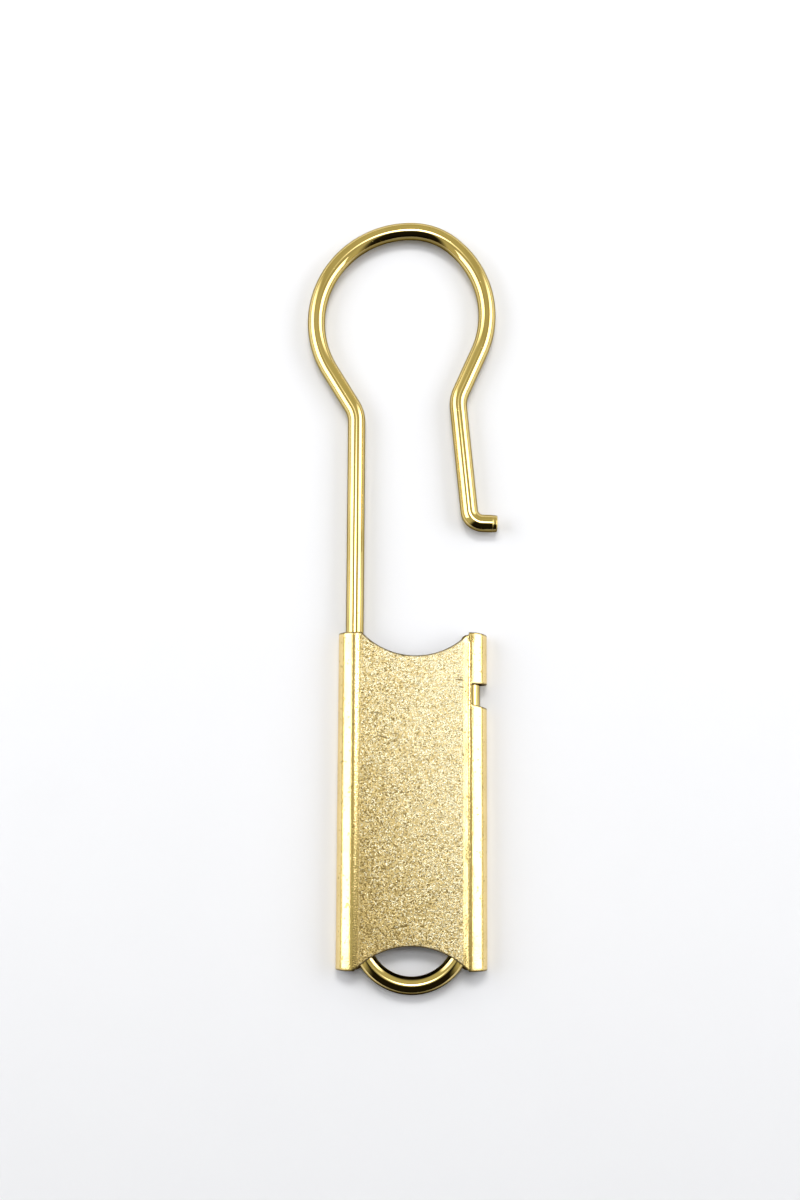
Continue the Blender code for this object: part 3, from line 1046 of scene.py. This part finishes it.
def buildTent():
    # Half ball of cloth round the object. Its glow is worked out for every point from the direction:
    # an even tone, dimmer overhead between the lamps, nearly dark towards the open front, and
    # lighter along the sides near the table.
    t = studio
    rise = np.linspace(t["tentFoot"], 0.5 * math.pi, t["tentRings"])
    turn = np.linspace(0.0, 2.0 * math.pi, t["tentSides"] + 1)[:-1]
    rise, turn = np.meshgrid(rise[:-1], turn, indexing="ij")
    direction = np.stack([np.cos(rise) * np.cos(turn), np.cos(rise) * np.sin(turn), np.sin(rise)], -1)
    count, sides = rise.shape
    points = np.concatenate([direction.reshape(-1, 3), [[0.0, 0.0, 1.0]]])
    level = np.hypot(points[:, 0], points[:, 1])
    frontShare = -points[:, 1] / np.maximum(level, tiny)
    overhead = smoothStep(below(level, t["overheadLevel"]))
    overhead = overhead * smoothStep(above(frontShare, t["overheadFront"]))
    dark = smoothStep(above(frontShare, t["darkFront"])) * smoothStep(above(level, t["darkLevel"]))
    low = smoothStep(1.0 - points[:, 2] / t["lowHeight"]) * np.abs(points[:, 0])
    glow = np.tile(t["tentColor"], (len(points), 1))
    for share, color in ((overhead, "tentTop"), (low, "horizonColor"), (dark, "tentDark")):
        glow = glow * (1 - share[:, None]) + np.array(t[color]) * share[:, None]
    number = closedRows(count, sides)
    fan = np.stack([number[-1, :-1], number[-1, 1:], np.full(sides, count * sides)], axis=-1)
    tent = makePiece("lightTent", points * t["tentRadius"], cellQuads(number), fan, {"glow": glow})
    material, bench = clothMaterial("tentCloth")
    tone = bench.attribute("glow", "Vector")
    warm = bench.add("ShaderNodeVectorMath", {0: tone, 1: t["tentWarmth"]}, operation="MULTIPLY")
    metal = bench.add("ShaderNodeLightPath").outputs["Is Glossy Ray"]
    pale = bench.add("ShaderNodeVectorMath", {0: tone, "Scale": t["tentBounce"]}, operation="SCALE")
    tone = bench.mixColor(metal, pale.outputs[0], warm.outputs[0])
    light = bench.add("ShaderNodeEmission", {"Color": tone})
    bench.add("ShaderNodeOutputMaterial", {"Surface": light.outputs[0]})
    material.cycles.emission_sampling = "NONE"
    tent.data.materials.append(material)
    tent.visible_camera = False


def glowMaterial(color):
    # Thin cloth with a lamp behind it: it adds its glow to whatever is seen through it
    material, bench = clothMaterial("lampCloth")
    light = bench.add("ShaderNodeEmission", {"Color": color, "Strength": bench.attribute("glow")})
    clear = bench.add("ShaderNodeBsdfTransparent")
    both = bench.add("ShaderNodeAddShader", {0: light.outputs[0], 1: clear.outputs[0]})
    bench.add("ShaderNodeOutputMaterial", {"Surface": both.outputs[0]})
    return material


def softSpan(value, low, high, softLow, softHigh):
    # 1 between two limits, easing to 0 over the given lengths outside them
    return smoothStep((value - low) / softLow + 1.0) * smoothStep((high - value) / softHigh + 1.0)


def glowPanel(name, points, glow, material):
    # flat cloth from a grid of points, rows by columns, with a glow for each
    number = np.arange(glow.size).reshape(glow.shape)
    panel = makePiece(name, points.reshape(-1, 3), cellQuads(number),
                      attributes={"glow": glow.ravel()})
    panel.data.materials.append(material)
    panel.visible_camera = False


def buildLights():
    # Two tall side windows, even over most of their width and fading towards the far end, and an
    # oval lamp overhead whose glow falls off as a bell curve of the distance from its middle.
    t = studio
    cloth = glowMaterial(t["windowColor"])
    near, far, sides, heights = t["windowGrid"]
    ease = t["windowEase"]
    for name, (x, bottom, top, light) in t["windows"].items():
        y, z = np.meshgrid(np.linspace(near, far, sides),
                           np.linspace(bottom - 2 * ease, top + 2 * ease, heights), indexing="ij")
        glow = light * softSpan(y, *t["windowSpan"]) * softSpan(z, bottom, top, ease, ease)
        glowPanel(name, np.stack([np.full_like(y, x), y, z], axis=-1), glow, cloth)
    left, right, near, far, count = t["topGrid"]
    x, y = np.meshgrid(np.linspace(left, right, count), np.linspace(near, far, count), indexing="ij")
    middleX, middleY = t["topMiddle"]
    reachX, reachY = t["topReach"]
    away = np.hypot((x - middleX) / reachX, (y - middleY) / reachY)
    glow = t["topLight"] * np.exp(-(away / t["topBell"]) ** 2) * smoothStep(below(away, t["topEnd"]))
    glowPanel("topPanel", np.stack([x, y, np.full_like(x, t["topHeight"])], axis=-1), glow, cloth)
    # a lamp beyond the loop, high up, that lights the scene without showing in the metal
    lamp = bpy.data.lights.new("fillLamp", "AREA")
    lamp.shape = "RECTANGLE"
    lamp.size, lamp.size_y = t["fillSize"]
    lamp.energy = lamp.size * lamp.size_y * t["fillPower"]
    fill = bpy.data.objects.new("fillLamp", lamp)
    bpy.context.scene.collection.objects.link(fill)
    beyond, high = t["fillPlace"]
    fill.location = (0.0, beyond, high)
    fill.rotation_euler = (-math.atan(beyond / high), 0.0, 0.0)
    fill.visible_camera = False
    fill.visible_glossy = False
    # the pale room beyond the floor
    world = bpy.data.worlds.new("plainWorld")
    world.use_nodes = True
    bench = NodeBench(world.node_tree)
    bench.feed(bench.nodes["Background"], {"Color": t["worldColor"], "Strength": 1.0})
    world.cycles.sampling_method = "NONE"
    bpy.context.scene.world = world


buildFloor()
buildTent()
buildLights()
print("floor and lights ready")


# Camera: above the sheath, leaning a little towards the loop

camera = {
    "lens": 50.0,
    "sensor": 36.0,
    "place": (0.00003, -0.03378, 0.23660),
    "lean": math.atan(0.1417),
    "turn": 0.005215,
    "clip": (0.005, 20.0),
}


def buildCamera():
    # its right side is the turn, its top leans back from the way ahead, and it looks against the
    # cross of the two
    c = camera
    lens = bpy.data.cameras.new("camera")
    lens.lens = c["lens"]
    lens.sensor_width = c["sensor"]
    lens.clip_start, lens.clip_end = c["clip"]
    holder = bpy.data.objects.new("camera", lens)
    turn = np.array([1.0, c["turn"], 0.0]) / math.hypot(1.0, c["turn"])
    ahead = np.array([-turn[1], turn[0], 0.0])
    up = ahead * math.cos(c["lean"]) + np.array([0.0, 0.0, math.sin(c["lean"])])
    back = np.cross(turn, up)
    matrix = np.eye(4)
    matrix[:3, 0], matrix[:3, 1], matrix[:3, 2], matrix[:3, 3] = turn, up, back, c["place"]
    holder.matrix_world = Matrix(matrix.tolist())
    bpy.context.scene.collection.objects.link(holder)
    bpy.context.scene.camera = holder


buildCamera()
bpy.context.scene.view_settings.view_transform = "Standard"
